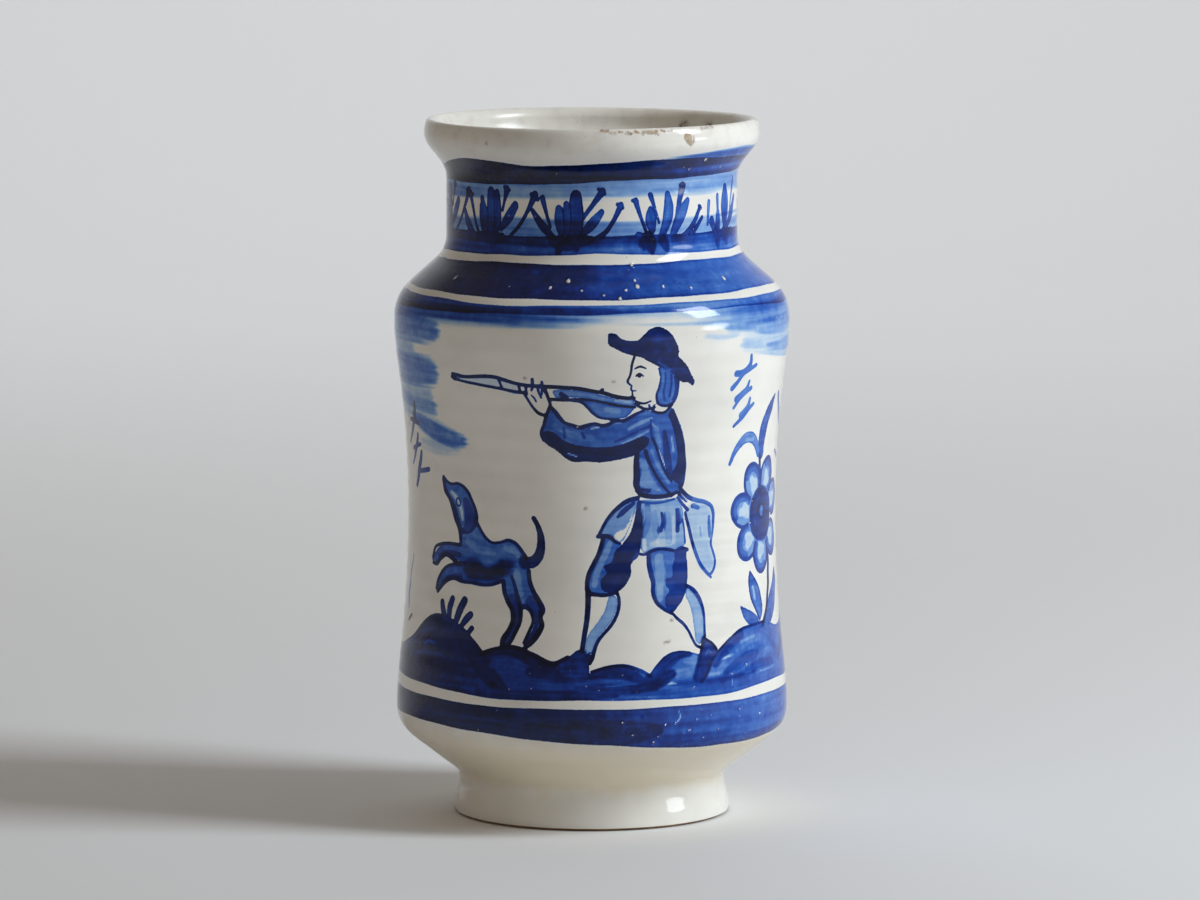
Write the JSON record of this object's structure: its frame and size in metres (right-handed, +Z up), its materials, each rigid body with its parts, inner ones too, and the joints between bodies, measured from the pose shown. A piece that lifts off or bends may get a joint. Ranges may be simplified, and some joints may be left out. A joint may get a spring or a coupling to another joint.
{
  "type": "albarello drug jar",
  "caption": "Waisted pharmacy jar on a turned foot, with a sloping shoulder, short neck and flared lip; tin-glazed earthenware with painted cobalt rings, for dry drugs and ointments.",
  "frame": {"origin": "centre of the foot ring's standing face, on the jar's axis", "axes": "+Z up along the axis of the jar, from the foot to the lip; the painted front faces -Y"},
  "size_m": [0.136, 0.136, 0.24],
  "materials": {
    "bare_clay": "matt, fired buff earthenware",
    "tin_glaze": "glossy opaque cream white with pinholes",
    "dark_cobalt": "glossy, thick brushed cobalt",
    "mid_cobalt": "glossy, brushed cobalt",
    "pale_cobalt": "glossy, thin cobalt wash"
  },
  "bodies": {
    "root": {"clay_body": "bare_clay", "outer_glaze": "tin_glaze", "inner_glaze": "tin_glaze", "underside_glaze": "tin_glaze", "lip_band": "dark_cobalt", "neck_upper_wash": "pale_cobalt", "neck_lower_wash": "pale_cobalt", "neck_band": "dark_cobalt", "shoulder_band": "mid_cobalt", "corner_band": "mid_cobalt", "ground_band": "dark_cobalt", "base_band": "mid_cobalt"}
  },
  "joints": []
}
